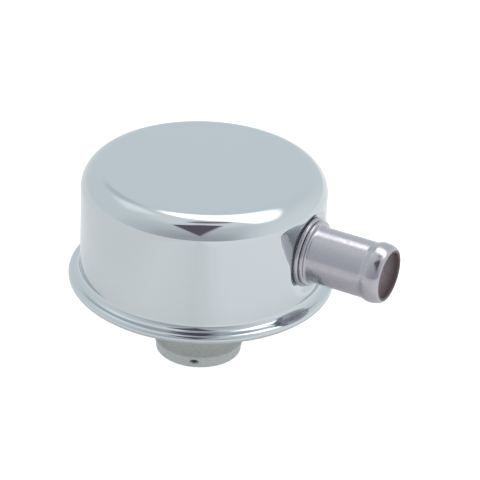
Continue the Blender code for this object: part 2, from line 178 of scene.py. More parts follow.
class BreatherNippleSizes(bpy.types.PropertyGroup):
    """Sizes of the hose nipple."""

    tube_radius: length("Tube radius", "Outside radius of the tube", 7.9 * MM)
    wall: length("Wall", "Thickness of the tube's wall", 1.0 * MM)
    collar_thickness: length("Collar thickness", "Thickness of the fold against the cap", 1.3 * MM)
    second_thickness: length("Second fold thickness", "Thickness of the outer fold", 1.1 * MM)
    second_drop: length("Second fold drop", "How much smaller in radius the outer fold is", 0.5 * MM)
    groove_depth: length("Groove depth", "Depth of the line between the two folds", 0.45 * MM)
    fillet_radius: length("Fillet radius", "Bend between the outer fold and the tube", 0.7 * MM)
    bead_height: length("Bead height", "How far the hose bead stands above the tube", 0.55 * MM)
    bead_setback: length("Bead setback", "Distance from the bead's crest to the tip", 3.4 * MM)
    bead_ramp: length("Bead ramp", "Length of the slope up to the bead", 2.6 * MM)
    tip_face: length("Tip face", "Width of the flat ring at the tip", 0.7 * MM)
    tip_inset: length("Tip inset", "How far the rolled tip narrows the bore", 0.45 * MM)


class BreatherFilterSizes(bpy.types.PropertyGroup):
    """Sizes of the knitted wire layers."""

    wire_radius: length("Wire radius", "Radius of the knitted wire as drawn", 0.14 * MM)
    loop_width: length("Loop width", "Width of one loop along its course", 2.4 * MM)
    course_pitch: length("Course pitch", "Distance from one course of loops to the next", 2.2 * MM)
    plies: IntProperty(name="Plies", description="Knitted plies in each layer", default=2, min=1, max=4)


class BreatherFinishes(bpy.types.PropertyGroup):
    """Colours of the finishes."""

    chrome: tint("Chrome", "Polished chrome plate", "#cbd1d4")
    nipple: tint("Nipple plate", "Satin plate of the hose nipple", "#b9b6bd")
    # Painted light: the bore's pale colour deep inside stands in for light that falls off there, and the
    # brown one is the darker, brownish steel towards the tip
    bore: tint("Bore", "Unplated steel inside the hose nipple", "#efe4e9")
    bore_brown: tint("Bore, brown", "Browned steel inside the nipple's tip", "#67595c")
    zinc_light: tint("Zinc, light", "Lighter grains of the zinc plate", "#cdcfcd")
    zinc_dark: tint("Zinc, dark", "Darker grains of the zinc plate", "#c5c7c5")
    # Painted sheen for the neck's mouth, standing in for light mirrored there
    zinc_sheen: tint("Zinc, rubbed", "Bright zinc plate at the neck's mouth", "#f4f6f6")
    # Painted shade for the mark pressed into the neck, standing in for the shade in that hollow
    dimple_shade: tint("Dimple shade", "Dirt in the mark pressed into the neck", "#55565e")
    fibre: tint("Fibre", "Dark fibre of the gasket", "#66646c")
    steel_light: tint("Steel, light", "Lighter parts of the bare sheet", "#a7a8a8")
    steel_dark: tint("Steel, dark", "Darker parts of the bare sheet", "#8d8e8f")
    wire: tint("Wire", "Knitted steel wire", "#8f8c88")


class BreatherStudio(bpy.types.PropertyGroup):
    """The camera, the floor and the light tent that the chrome mirrors."""

    distance: length("Camera distance", "From the point looked at to the camera", 0.5, 0.1, 3.0)
    azimuth: angle("Azimuth", "Camera's turn round the part, and the tent's", 27.4)
    elevation: angle("Elevation", "Camera's height above the horizon", 28.85)
    roll: angle("Roll", "Clockwise tilt of the picture", 2.93)
    look_aside: length("Look aside", "Point looked at, to the right of the neck's axis", 10.62 * MM)
    look_height: length("Look height", "Height of the point looked at above the base", 11.45 * MM)
    lens: FloatProperty(name="Lens", description="Focal length", default=131.9, min=1.0, unit="CAMERA")
    tent: tint("Tent", "Cloth walls of the light tent", "#e5edf1")
    tent_front: tint("Tent, front", "Cloth below and beside the camera's slit", "#b8b9c0")
    tent_right: tint("Tent, right", "Brighter cloth wall to the right", "#f5fafd")
    tent_high: tint("Tent, high", "Cloth roof of the light tent", "#f3f7f8")
    opening: tint("Opening", "Dark slit that the camera looks through", "#6b6270")
    fold: tint("Fold", "Shaded fold of the roof above the slit", "#8f8b94")
    seam: tint("Seam", "Dimmer seam of the roof behind the part, to the left", "#d2dadf")
    floor: tint("Floor", "Pale floor as metal mirrors it", "#cdcfd0")
    floor_glow: tint("Floor glow", "Light that comes up through the pale floor", "#fafdff")
    floor_lift: amount("Floor lift", "Glow that whitens the floor", 0.7)
    softbox: amount("Softbox", "Brightness of the bright panel", 2.4)
    gleam: amount("Gleam", "Brightness of the roof left of the panel, times the roof's colour", 1.2)


def opaque(colour):
    """A colour with full alpha."""
    return (*colour, 1.0)


def scaled(colour, share):
    """A colour made darker or brighter."""
    return tuple(share * channel for channel in colour)


def add_node(tree, kind, inputs=None, **settings):
    """Adds a node. Its settings are attributes, and its inputs are values or the sockets linked to them."""
    node = tree.nodes.new(kind)
    for name, value in settings.items():
        setattr(node, name, value)
    for name, value in (inputs or {}).items():
        if isinstance(value, bpy.types.NodeSocket):
            tree.links.new(value, node.inputs[name])
        else:
            node.inputs[name].default_value = value
    return node


def add_noise(tree, place, scale, detail):
    """A noise whose patches are 1 / scale metres wide."""
    node = add_node(tree, "ShaderNodeTexNoise", {"Vector": place, "Scale": scale, "Detail": detail})
    return node.outputs["Fac"]


def add_dot(tree, way, other):
    """The dot product of two vectors."""
    node = add_node(tree, "ShaderNodeVectorMath", {0: way, 1: other}, operation="DOT_PRODUCT")
    return node.outputs["Value"]


def add_spread(tree, value, start, end, low=0.0, high=1.0, smooth=False):
    """The low value up to the start, the high value from the end on, and a rise between them."""
    node = add_node(
        tree,
        "ShaderNodeMapRange",
        {"Value": value, "From Min": start, "From Max": end, "To Min": low, "To Max": high},
        interpolation_type="SMOOTHSTEP" if smooth else "LINEAR",
    )
    return node.outputs["Result"]


def add_ramp(tree, factor, stops):
    """The colours of a ramp along a factor, from stops of (position, linear colour)."""
    node = add_node(tree, "ShaderNodeValToRGB", {"Fac": factor})
    elements = node.color_ramp.elements
    while len(elements) > 1:
        elements.remove(elements[-1])
    elements[0].position = stops[0][0]
    elements[0].color = opaque(stops[0][1])
    for position, shade in stops[1:]:
        elements.new(position).color = opaque(shade)
    return node.outputs["Color"]


def mix_colours(tree, share, first, second):
    """The first colour where the share is 0 and the second where it is 1."""
    return add_node(tree, "ShaderNodeMix", {0: share, 6: first, 7: second}, data_type="RGBA").outputs[2]


def new_material(name, inputs):
    """A material with values for its Principled shader, as (material, tree, shader, Object coordinates)."""
    material = bpy.data.materials.new(name)
    material.use_nodes = True
    tree = material.node_tree
    shader = tree.nodes["Principled BSDF"]
    for input_name, value in inputs.items():
        shader.inputs[input_name].default_value = value
    place = add_node(tree, "ShaderNodeTexCoord").outputs["Object"]
    return material, tree, shader, place


def link_roughness(tree, shader, noise, low, high):
    """Spreads a noise over a range of roughness."""
    tree.links.new(add_spread(tree, noise, 0.3, 0.7, low, high), shader.inputs["Roughness"])


def link_bump(tree, shader, noise, strength, depth):
    """Bumps the surface with a noise, by a depth in metres."""
    bump = add_node(tree, "ShaderNodeBump", {"Height": noise, "Strength": strength, "Distance": depth})
    tree.links.new(bump.outputs["Normal"], shader.inputs["Normal"])


def polished_chrome(shade):
    """Bright chrome on polished steel: a clean mirror with the faint waviness of drawn sheet."""
    inputs = {"Base Color": opaque(shade), "Metallic": 1.0}
    material, tree, shader, place = new_material("polished_chrome_plate", inputs)
    # Buffing leaves patches of haze about 8 mm across
    link_roughness(tree, shader, add_noise(tree, place, 120.0, 2.0), 0.015, 0.05)
    # Waves of drawn sheet about 12 mm long and a micron or so high
    link_bump(tree, shader, add_noise(tree, place, 80.0, 1.0), 0.35, 0.012 * MM)
    return material


def satin_plate(shade):
    """Satin nickel plate over a tumbled steel tube: soft mirror whose highlight breaks into grains."""
    inputs = {"Base Color": opaque(shade), "Metallic": 1.0}
    material, tree, shader, place = new_material("satin_nickel_plate", inputs)
    # Tumbling grains are finer than 0.2 mm. They are drawn at about 1 mm so that they show
    grains = add_noise(tree, place, 950.0, 4.0)
    link_roughness(tree, shader, grains, 0.13, 0.3)
    link_bump(tree, shader, grains, 0.38, 0.035 * MM)
    return material


def zinc_plate(finish, with_painted_light=False):
    """Clear zinc plate: dull grey metal with a faint mottle. The neck's copy has a painted sheen at its mouth
    and painted shade in its pressed mark.
    """
    material, tree, shader, place = new_material("clear_zinc_plate", {"Metallic": 1.0})
    # Mottle of the plating bath, patches of 2 to 4 mm
    mottle = add_noise(tree, place, 350.0, 3.0)
    colour = add_ramp(tree, mottle, [(0.3, finish.zinc_dark), (0.7, finish.zinc_light)])
    if with_painted_light:
        # Painted sheen: a lighter zinc colour over the lowest few millimetres of the neck, standing in for
        # light mirrored at the mouth
        height = add_node(tree, "ShaderNodeSeparateXYZ", {"Vector": place}).outputs["Z"]
        plain_from, sheen_below = NECK_LOW[2] + 4.2 * MM, NECK_LOW[2] + 3.0 * MM
        sheen = add_spread(tree, height, plain_from, sheen_below, high=0.8, smooth=True)
        colour = mix_colours(tree, sheen, colour, opaque(finish.zinc_sheen))
        # Painted shade: a dark colour mixed in over the pressed mark, standing in for the shade in its hollow
        dimple_shade = add_node(tree, "ShaderNodeAttribute", attribute_name="pressed").outputs["Fac"]
        colour = mix_colours(tree, dimple_shade, colour, opaque(finish.dimple_shade))
    tree.links.new(colour, shader.inputs["Base Color"])
    # Dull grains of about 0.5 mm soften what the plate mirrors
    grains = add_noise(tree, place, 2200.0, 2.0)
    link_roughness(tree, shader, grains, 0.2, 0.3)
    link_bump(tree, shader, grains, 0.1, 0.008 * MM)
    return material


def bare_bore(shade, brown):
    """Unplated steel inside the nipple: dull and brownish, because the plating bath hardly reaches it."""
    material, tree, shader, place = new_material("unplated_steel_bore", {"Metallic": 0.2, "Roughness": 0.5})
    # Rust bloom in patches of about 2 mm
    bloom = add_noise(tree, place, 500.0, 4.0)
    colour = add_ramp(tree, bloom, [(0.35, scaled(shade, 0.85)), (0.65, shade)])
    # Painted light: the colour is lighter deep inside, making up for the light that falls off there, and
    # turns darker and brownish over the last few millimetres towards the tip
    along = add_node(tree, "ShaderNodeSeparateXYZ", {"Vector": place}).outputs["X"]
    toward_tip = add_spread(tree, along, NIPPLE_HIGH[0] - 5.5 * MM, NIPPLE_HIGH[0] - 1.0 * MM)
    tree.links.new(mix_colours(tree, toward_tip, colour, opaque(brown)), shader.inputs["Base Color"])
    return material


def bare_sheet(light, dark):
    """Bare cold rolled sheet: fine rolling lines along one way and a thin film of oil."""
    material, tree, shader, place = new_material("cold_rolled_sheet", {"Metallic": 1.0})
    # Rolling lines lie some 0.3 mm apart and run along X
    stretch = add_node(tree, "ShaderNodeMapping", {"Vector": place, "Scale": (120.0, 3000.0, 3000.0)})
    lines = add_noise(tree, stretch.outputs["Vector"], 1.0, 2.0)
    tree.links.new(add_ramp(tree, lines, [(0.3, dark), (0.7, light)]), shader.inputs["Base Color"])
    link_roughness(tree, shader, lines, 0.35, 0.5)
    return material


def gasket_fibre(shade):
    """Dark fibre sheet: matt, with short fibres just visible at its edge."""
    inputs = {"Base Color": opaque(shade), "Roughness": 0.8}
    material, tree, shader, place = new_material("dark_fibre_sheet", inputs)
    link_bump(tree, shader, add_noise(tree, place, 3500.0, 4.0), 0.6, 0.03 * MM)
    return material


def steel_wire(shade):
    """Drawn steel wire: smooth metal with darker, oily stretches a few millimetres long."""
    material, tree, shader, place = new_material("drawn_steel_wire", {"Metallic": 1.0, "Roughness": 0.35})
    oil = add_noise(tree, place, 300.0, 2.0)
    colour = add_ramp(tree, oil, [(0.35, scaled(shade, 0.5)), (0.65, shade)])
    tree.links.new(colour, shader.inputs["Base Color"])
    return material


def left_of(way):
    """The unit vector a quarter turn to the left of a direction in the radius and height plane."""
    return Vector((-way.y, way.x))


def bent_path(corners):
    """Points and left normals along a line of corners, each (radius, height, bend radius, bend steps)."""
    points = [Vector(corner[:2]) for corner in corners]
    first_way = (points[1] - points[0]).normalized()
    path = [(points[0], left_of(first_way))]
    for index in range(1, len(points) - 1):
        way_in = (points[index] - points[index - 1]).normalized()
        way_out = (points[index + 1] - points[index]).normalized()
        bend_radius, steps = corners[index][2:]
        turn = math.atan2(way_in.x * way_out.y - way_in.y * way_out.x, way_in.dot(way_out))
        side = 1 if turn > 0 else -1
        start = points[index] - way_in * bend_radius * math.tan(abs(turn) / 2)
        centre = start + left_of(way_in) * bend_radius * side
        for step in range(steps + 1):
            way = Matrix.Rotation(turn * step / steps, 2) @ way_in
            path.append((centre - left_of(way) * bend_radius * side, left_of(way)))
    last_way = (points[-1] - points[-2]).normalized()
    path.append((points[-1], left_of(last_way)))
    return path


def with_rows(path, spacing, plain_radius=0.0):
    """The same path with more points on its long stretches, none of them within a plain radius."""
    filled = [path[0]]
    if plain_radius:
        filled.append((Vector((plain_radius, path[0][0].y)), path[0][1]))
    for point, normal in path[1:]:
        last_point, last_normal = filled[-1]
        rows = max(1, math.ceil((point - last_point).length / spacing))
        for row in range(1, rows + 1):
            share = row / rows
            filled.append((last_point.lerp(point, share), last_normal.lerp(normal, share).normalized()))
    return filled


def sheet_outline(path, thickness):
    """The closed section of a sheet of even thickness about a middle line."""
    left = [point + normal * thickness / 2 for point, normal in path]
    right = [point - normal * thickness / 2 for point, normal in path]
    return left + right[::-1]


def arc(centre, radius, start, end, steps):
    """Points on an arc in the radius and height plane, with its angles in degrees."""
    points = []
    for step in range(steps + 1):
        turn = math.radians(start + (end - start) * step / steps)
        points.append(Vector((centre[0] + radius * math.cos(turn), centre[1] + radius * math.sin(turn))))
    return points


def turned(outline, segments, fine_half_turn=0.0, fine_segments=0):
    """A bmesh spun about Z from a section. It can have finer segments to both sides of +X."""
    mesh = bmesh.new()
    profile = [mesh.verts.new((max(point[0], 0.0), 0.0, point[1])) for point in outline]
    edges = [mesh.edges.new(pair) for pair in zip(profile, profile[1:])]
    if outline[0][0] > 0 or outline[-1][0] > 0:
        edges.append(mesh.edges.new((profile[-1], profile[0])))
    start = Matrix.Rotation(-fine_half_turn, 3, "Z")
    bmesh.ops.rotate(mesh, cent=(0.0, 0.0, 0.0), matrix=start, verts=profile)
    last = profile + edges
    spins = [(2 * math.pi - 2 * fine_half_turn, segments, not fine_segments)]
    if fine_segments:
        spins.insert(0, (2 * fine_half_turn, fine_segments, False))
    for turn, steps, merge in spins:
        made = bmesh.ops.spin(mesh, geom=last, axis=(0.0, 0.0, 1.0), angle=turn, steps=steps, use_merge=merge)
        last = made["geom_last"]
    bmesh.ops.remove_doubles(mesh, verts=mesh.verts, dist=MM / 1000)
    bmesh.ops.recalc_face_normals(mesh, faces=mesh.faces)
    return mesh


def along_nipple(mesh):
    """Lays a bmesh made about Z along the hose nipple's axis."""
    turn = Matrix.Rotation(math.pi / 2, 4, "Y")
    lift = Matrix.Translation((0.0, 0.0, NIPPLE_AXIS_HEIGHT))
    bmesh.ops.transform(mesh, matrix=lift @ turn, verts=mesh.verts)
    return mesh


def shade_round(data):
    """Shades a mesh smooth where it is round."""
    data.shade_smooth()
    data.set_sharp_from_angle(angle=SHARP_ANGLE)


def add_piece(name, mesh, materials, node):
    """Makes a piece from a bmesh, rides it on the model and puts it in a CAD node's place."""
    data = bpy.data.meshes.new(name)
    mesh.to_mesh(data)
    mesh.free()
    shade_round(data)
    for material in materials:
        data.materials.append(material)
    piece = bpy.data.objects.new(name, data)
    bpy.context.scene.collection.objects.link(piece)
    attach(piece, "root")
    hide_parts(node)
    return piece


def cut(piece, mesh):
    """Cuts a closed bmesh from a piece for good."""
    data = bpy.data.meshes.new("cutter")
    mesh.to_mesh(data)
    mesh.free()
    cutter = bpy.data.objects.new("cutter", data)
    bpy.context.scene.collection.objects.link(cutter)
    modifier = piece.modifiers.new("cut", "BOOLEAN")
    modifier.object = cutter
    modifier.solver = "MANIFOLD"
    evaluated = piece.evaluated_get(bpy.context.evaluated_depsgraph_get())
    finished = bpy.data.meshes.new_from_object(evaluated)
    piece.modifiers.clear()
    piece.data = finished
    shade_round(finished)
    bpy.data.objects.remove(cutter)


def eased(share):
    """A smooth step from 0 to 1."""
    share = min(max(share, 0.0), 1.0)
    return share * share * (3 - 2 * share)


class BREATHER_OT_cap(bpy.types.Operator):
    """Draws the chromed cap with its shoulder, its pressed nipple seat and its curled rim"""

    bl_idname = "breather.cap"
    bl_label = "Cap"

    def press_seat(self, mesh, sizes, wall_radius):
        """Presses both faces of the wall flat round the nipple and blends the flat into the round wall."""
        seat_radius = COLLAR_DIAMETER / 2 + sizes.seat_margin
        seat_x = COLLAR_X - sizes.seat_gap
        straight_top = CAP_HIGH[2] - sizes.shoulder_radius
        for vertex in mesh.verts:
            if vertex.co.x <= 0:
                continue
            from_axis = math.hypot(vertex.co.y, vertex.co.z - NIPPLE_AXIS_HEIGHT)
            share = eased(1 - (from_axis - seat_radius) / sizes.seat_blend)
            share *= eased(1 - (vertex.co.z - straight_top) / sizes.seat_blend)
            if share == 0:
                continue
            outside = math.hypot(vertex.co.x, vertex.co.y) > wall_radius(vertex.co.z) - sizes.thickness / 2
            face = seat_x if outside else seat_x - sizes.thickness
            vertex.co.x += share * min(face - vertex.co.x, 0.0)

    def execute(self, context):
        sizes = context.scene.breather_cap
        half = sizes.thickness / 2
        crown = CAP_HIGH[2] - half
        flange = sizes.hem_height - half
        rim = CAP_HIGH[1] - half
        lip = half - sizes.hem_drop
        hem_bend = (flange - lip) / 2
        corners = [
            (0.0, crown, 0.0, 0),
            (sizes.wall_radius_top - half, crown, sizes.shoulder_radius - half, 28),
            (sizes.wall_radius_bottom - half, flange, sizes.root_radius + half, 14),
            (rim, flange, hem_bend, 12),
            (rim, lip, hem_bend, 12),
            (rim - hem_bend - sizes.hem_return, lip, 0.0, 0),
        ]
        path = with_rows(bent_path(corners), CAP_ROW_STEP, PLAIN_CROWN_RADIUS)
        mesh = turned(sheet_outline(path, sizes.thickness), CAP_SEGMENTS, SEAT_HALF_TURN, SEAT_SEGMENTS)

        def wall_radius(height):
            share = min(max((height - sizes.hem_height) / (CAP_HEIGHT - sizes.hem_height), 0.0), 1.0)
            return sizes.wall_radius_bottom + (sizes.wall_radius_top - sizes.wall_radius_bottom) * share

        self.press_seat(mesh, sizes, wall_radius)
        chrome = polished_chrome(context.scene.breather_finish.chrome)
        cap = add_piece("polished_cap", mesh, [chrome], "outer_shell")
        hole = context.scene.breather_nipple.tube_radius + FIT_GAP
        past_wall = 1 * MM
        inner, outer = WASHER_HIGH[0] - past_wall, SEAL_HIGH[0] + past_wall
        corners = [(0.0, inner), (hole, inner), (hole, outer), (0.0, outer)]
        cut(cap, along_nipple(turned(corners, HOLE_SEGMENTS)))
        return {"FINISHED"}


class BREATHER_OT_base(bpy.types.Operator):
    """Stamps the zinc plated base plate that the cap's rim is curled round"""

    bl_idname = "breather.base"
    bl_label = "Base plate"

    def execute(self, context):
        plates, cap = context.scene.breather_plates, context.scene.breather_cap
        half = plates.base_thickness / 2
        edge_height = (cap.hem_height - cap.hem_drop) / 2
        hem_bend = (cap.hem_height + cap.hem_drop - cap.thickness) / 2
        free_edge = CAP_HIGH[1] - cap.thickness / 2 - hem_bend - cap.hem_return
        step_start = free_edge - plates.step_setback - plates.step_width
        step_bend = 0.9 * MM
        weld_gap = 0.05 * MM
        corners = [
            (plates.neck_radius + weld_gap, half, 0.0, 0),
            (step_start, half, step_bend, 8),
            (step_start + plates.step_width, edge_height, step_bend, 8),
            (CAP_HIGH[1] - cap.thickness - FIT_GAP, edge_height, 0.0, 0),
        ]
        path = with_rows(bent_path(corners), BASE_ROW_STEP)
        mesh = turned(sheet_outline(path, plates.base_thickness), ROUND_SEGMENTS)
        zinc = zinc_plate(context.scene.breather_finish)
        add_piece("stamped_base", mesh, [zinc], "base_plate")
        return {"FINISHED"}


class BREATHER_OT_neck(bpy.types.Operator):
    """Forms the push-in neck with its flange, its narrowed mouth and its pressed mark"""

    bl_idname = "breather.neck"
    bl_label = "Neck"

    def execute(self, context):
        plates = context.scene.breather_plates
        half = plates.neck_thickness / 2
        wall = plates.neck_radius - half
        flange = NECK_HIGH[2] - half
        mouth = plates.mouth_radius - half
        bottom = NECK_LOW[2]
        mouth_rim = 0.7 * MM
        flange_bend, taper_bend, mouth_bend = 0.8 * MM, 5.0 * MM, 1.6 * MM
        corners = [
            (NECK_HIGH[0], flange, 0.0, 0),
            (wall, flange, flange_bend, 10),
            (wall, bottom + plates.taper_length, taper_bend, 8),
            (mouth, bottom + mouth_rim, mouth_bend, 6),
            (mouth, bottom, 0.0, 0),
        ]
        path = with_rows(bent_path(corners), NECK_ROW_STEP)
        mesh = turned(sheet_outline(path, plates.neck_thickness), ROUND_SEGMENTS)
        pressed = mesh.verts.layers.float.new("pressed")
        steepness = 1.6
        way = Vector((math.cos(MARK_TURN), math.sin(MARK_TURN), 0.0))
        aside = Vector((-way.y, way.x, 0.0))
        height = bottom + plates.taper_length / 2
        for vertex in mesh.verts:
            if vertex.co.dot(way) <= 0:
                continue
            across = vertex.co.dot(aside) / (plates.dimple_width / 2)
            up = (vertex.co.z - height) / (plates.dimple_height / 2)
            share = eased(steepness * (1 - math.hypot(across, up)))
            vertex[pressed] = share
            vertex.co -= way * plates.dimple_depth * share
        zinc = zinc_plate(context.scene.breather_finish, with_painted_light=True)
        add_piece("push_in_neck", mesh, [zinc], "neck_tube")
        return {"FINISHED"}


class BREATHER_OT_nipple(bpy.types.Operator):
    """Rolls the hose nipple with its folded collar and its hose bead"""

    bl_idname = "breather.nipple"
    bl_label = "Hose nipple"

    def outside(self, sizes):
        """The nipple's outside from its staked inner rim to its tip, as (radius, distance along X)."""
        tube = sizes.tube_radius
        collar = COLLAR_DIAMETER / 2
        second_x = COLLAR_X + sizes.collar_thickness
        tube_x = second_x + sizes.second_thickness
        second = collar - sizes.second_drop
        fold, second_fold = sizes.collar_thickness / 2, sizes.second_thickness / 2
        bead_x = NIPPLE_HIGH[0] - sizes.bead_setback
        bead = tube + sizes.bead_height
        tip = tube - sizes.wall - sizes.tip_inset + sizes.tip_face
        rim_width = 1.3 * MM
        rim, rim_x = tube + rim_width, WASHER_LOW[0] - FIT_GAP
        corners = [(rim, NIPPLE_LOW[0]), (rim, rim_x), (tube, rim_x), (tube, COLLAR_X)]
        points = [Vector(corner) for corner in corners]
        points += arc((collar - fold, COLLAR_X + fold), fold, -90, 68, 14)
        points += [Vector((second - sizes.groove_depth, second_x))]
        points += arc((second - second_fold, second_x + second_fold), second_fold, -68, 90, 14)
        centre = (tube + sizes.fillet_radius, tube_x + sizes.fillet_radius)
        points += arc(centre, sizes.fillet_radius, 270, 180, 8)
        straight = bead_x - sizes.bead_ramp - points[-1].y
        rows = 24
        for row in range(1, rows):
            points.append(Vector((tube, points[-1].y + straight / rows)))
        ramp_steps = 18
        for step in range(ramp_steps + 1):
            share = step / ramp_steps
            radius = tube + (bead - tube) * eased(share)
            points.append(Vector((radius, bead_x - sizes.bead_ramp * (1 - share))))
        nose_steps = 16
        for step in range(1, nose_steps + 1):
            turn = math.pi / 2 * step / nose_steps
            radius = tip + (bead - tip) * math.cos(turn)
            points.append(Vector((radius, bead_x + sizes.bead_setback * math.sin(turn))))
        return points

    def execute(self, context):
        sizes = context.scene.breather_nipple
        bore = sizes.tube_radius - sizes.wall
        tip_bore = bore - sizes.tip_inset
        tip_x = NIPPLE_HIGH[0]
        lip = 0.25 * MM
        throat_start, throat_end = tip_x - 4 * MM, tip_x - 2 * MM
        inside = arc((tip_bore + lip, tip_x - lip), lip, 90, 180, 4)
        corners = [(tip_bore, throat_end), (bore, throat_start), (bore, NIPPLE_LOW[0])]
        inside += [Vector(corner) for corner in corners]
        mesh = along_nipple(turned(self.outside(sizes) + inside, NIPPLE_SEGMENTS))
        finish = context.scene.breather_finish
        satin = satin_plate(finish.nipple)
        bore_limit = bore + 0.1 * MM
        for face in mesh.faces:
            centre = face.calc_center_median()
            if math.hypot(centre.y, centre.z - NIPPLE_AXIS_HEIGHT) < bore_limit:
                face.material_index = 1
        unplated = bare_bore(finish.bore, finish.bore_brown)
        add_piece("beaded_nipple", mesh, [satin, unplated], "hose_nipple")
        return {"FINISHED"}


class BREATHER_OT_seals(bpy.types.Operator):
    """Cuts the fibre gasket outside the wall and the washer inside it"""

    bl_idname = "breather.seals"
    bl_label = "Gasket and washer"

    def ring(self, low, high, radius, hole, edge):
        """A flat ring along the nipple's axis with rounded outer edges."""
        outline = [Vector((hole, low))]
        outline += arc((radius - edge, low + edge), edge, -90, 0, 4)
        outline += arc((radius - edge, high - edge), edge, 0, 90, 4)
        outline += [Vector((hole, high))]
        return along_nipple(turned(outline, RING_SEGMENTS))

    def execute(self, context):
        finish = context.scene.breather_finish
        hole = context.scene.breather_nipple.tube_radius + FIT_GAP
        fibre = gasket_fibre(finish.fibre)
        # The gasket lies between the collar and the pressed seat
        seal_back, seal_front = COLLAR_X - 0.17 * MM, COLLAR_X - 0.03 * MM
        seal = self.ring(seal_back, seal_front, SEAL_HIGH[1], hole, edge=0.04 * MM)
        add_piece("seal_ring", seal, [fibre], "nipple_gasket")
        washer = self.ring(WASHER_LOW[0], WASHER_HIGH[0], WASHER_HIGH[1], hole, edge=0.2 * MM)
        sheet = bare_sheet(finish.steel_light, finish.steel_dark)
        add_piece("backing_ring", washer, [sheet], "nipple_washer")
        return {"FINISHED"}


class BREATHER_OT_inner_sheets(bpy.types.Operator):
    """Finishes the splash baffle and the perforated tray"""

    bl_idname = "breather.inner_sheets"
    bl_label = "Baffle and tray"

    def execute(self, context):
        finish = context.scene.breather_finish
        sheet = bare_sheet(finish.steel_light, finish.steel_dark)
        for node in ("splash_baffle", "mesh_tray"):
            for material_slot in frame["nodes"][node].material_slots:
                material_slot.material = sheet
        return {"FINISHED"}


class BREATHER_OT_filter(bpy.types.Operator):
    """Knits the wire layers between the tray and the crown"""

    bl_idname = "breather.filter"
    bl_label = "Wire layers"

    def course(self, sizes, radius, middle, sway, turn):
        """Points along one closed course of loops, each loop hooked through the next course."""
        loops = max(4, round(2 * math.pi * radius / sizes.loop_width))
        steps = 10
        bulge = 0.9
        crossing = 1.5 * sizes.wire_radius
        phase = 40 * radius / MM
        points = []
        for step in range(loops * steps):
            share = 2 * math.pi * step / steps
            around = turn + (share + bulge * math.sin(2 * share)) / loops
            out = radius + LOOP_REACH * sizes.course_pitch * math.cos(share)
            height = middle + sway * math.sin(3 * around + phase) + crossing * math.sin(2 * share)
            points.append(Vector((out * math.cos(around), out * math.sin(around), height)))
        return points

    def execute(self, context):
        sizes = context.scene.breather_filter
        wire = steel_wire(context.scene.breather_finish.wire)
        for index in range(4):
            node = f"wire_mesh_{index + 1}"
            low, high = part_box(node)
            edge = high[0] - LOOP_REACH * sizes.course_pitch - 2 * sizes.wire_radius
            ply_height = (high[2] - low[2]) / sizes.plies
            crossing_room = 2.6 * sizes.wire_radius
            sway = ply_height / 2 - crossing_room
            line = bpy.data.curves.new("wire", "CURVE")
            line.dimensions = "3D"
            line.bevel_depth = sizes.wire_radius
            line.bevel_resolution = 1
            for ply in range(sizes.plies):
                middle = low[2] + (ply + 0.5) * ply_height
                turn = index + 0.7 * ply
                for row in range(int(edge / sizes.course_pitch)):
                    points = self.course(sizes, edge - row * sizes.course_pitch, middle, sway, turn)
                    strand = line.splines.new("POLY")
                    strand.use_cyclic_u = True
                    strand.points.add(len(points) - 1)
                    for target, point in zip(strand.points, points):
                        target.co = (*point, 1.0)
            strands = bpy.data.objects.new("wire", line)
            context.scene.collection.objects.link(strands)
            tubes = bpy.data.meshes.new_from_object(strands.evaluated_get(context.evaluated_depsgraph_get()))
            mesh = bmesh.new()
            mesh.from_mesh(tubes)
            bmesh.ops.recalc_face_normals(mesh, faces=mesh.faces)
            bpy.data.objects.remove(strands)
            bpy.data.meshes.remove(tubes)
            add_piece(f"knitted_layer_{index + 1}", mesh, [wire], node)
        return {"FINISHED"}


def sky_direction(right, front):
    """A direction near the zenith, as degrees down from it to the right and to the camera's side."""
    down = math.radians(math.hypot(right, front))
    turn = math.atan2(right, front)
    return Vector((math.sin(turn) * math.sin(down), -math.cos(turn) * math.sin(down), math.cos(down)))


def patch_mask(tree, way, corners):
    """1 inside a convex patch of sky and 0 outside. Corners are (right, front, softness of the next edge)."""
    ways = [sky_direction(*corner[:2]) for corner in corners]
    centre = sum(ways, Vector((0.0, 0.0, 0.0)))
    inside = None
    for index, (_, _, softness) in enumerate(corners):
        normal = ways[index].cross(ways[(index + 1) % len(ways)]).normalized()
        if normal.dot(centre) < 0:
            normal = -normal
        side = add_spread(tree, add_dot(tree, way, normal), -softness, softness, smooth=True)
        if inside is None:
            inside = side
        else:
            inside = add_node(tree, "ShaderNodeMath", {0: inside, 1: side}, operation="MULTIPLY").outputs[0]
    return inside


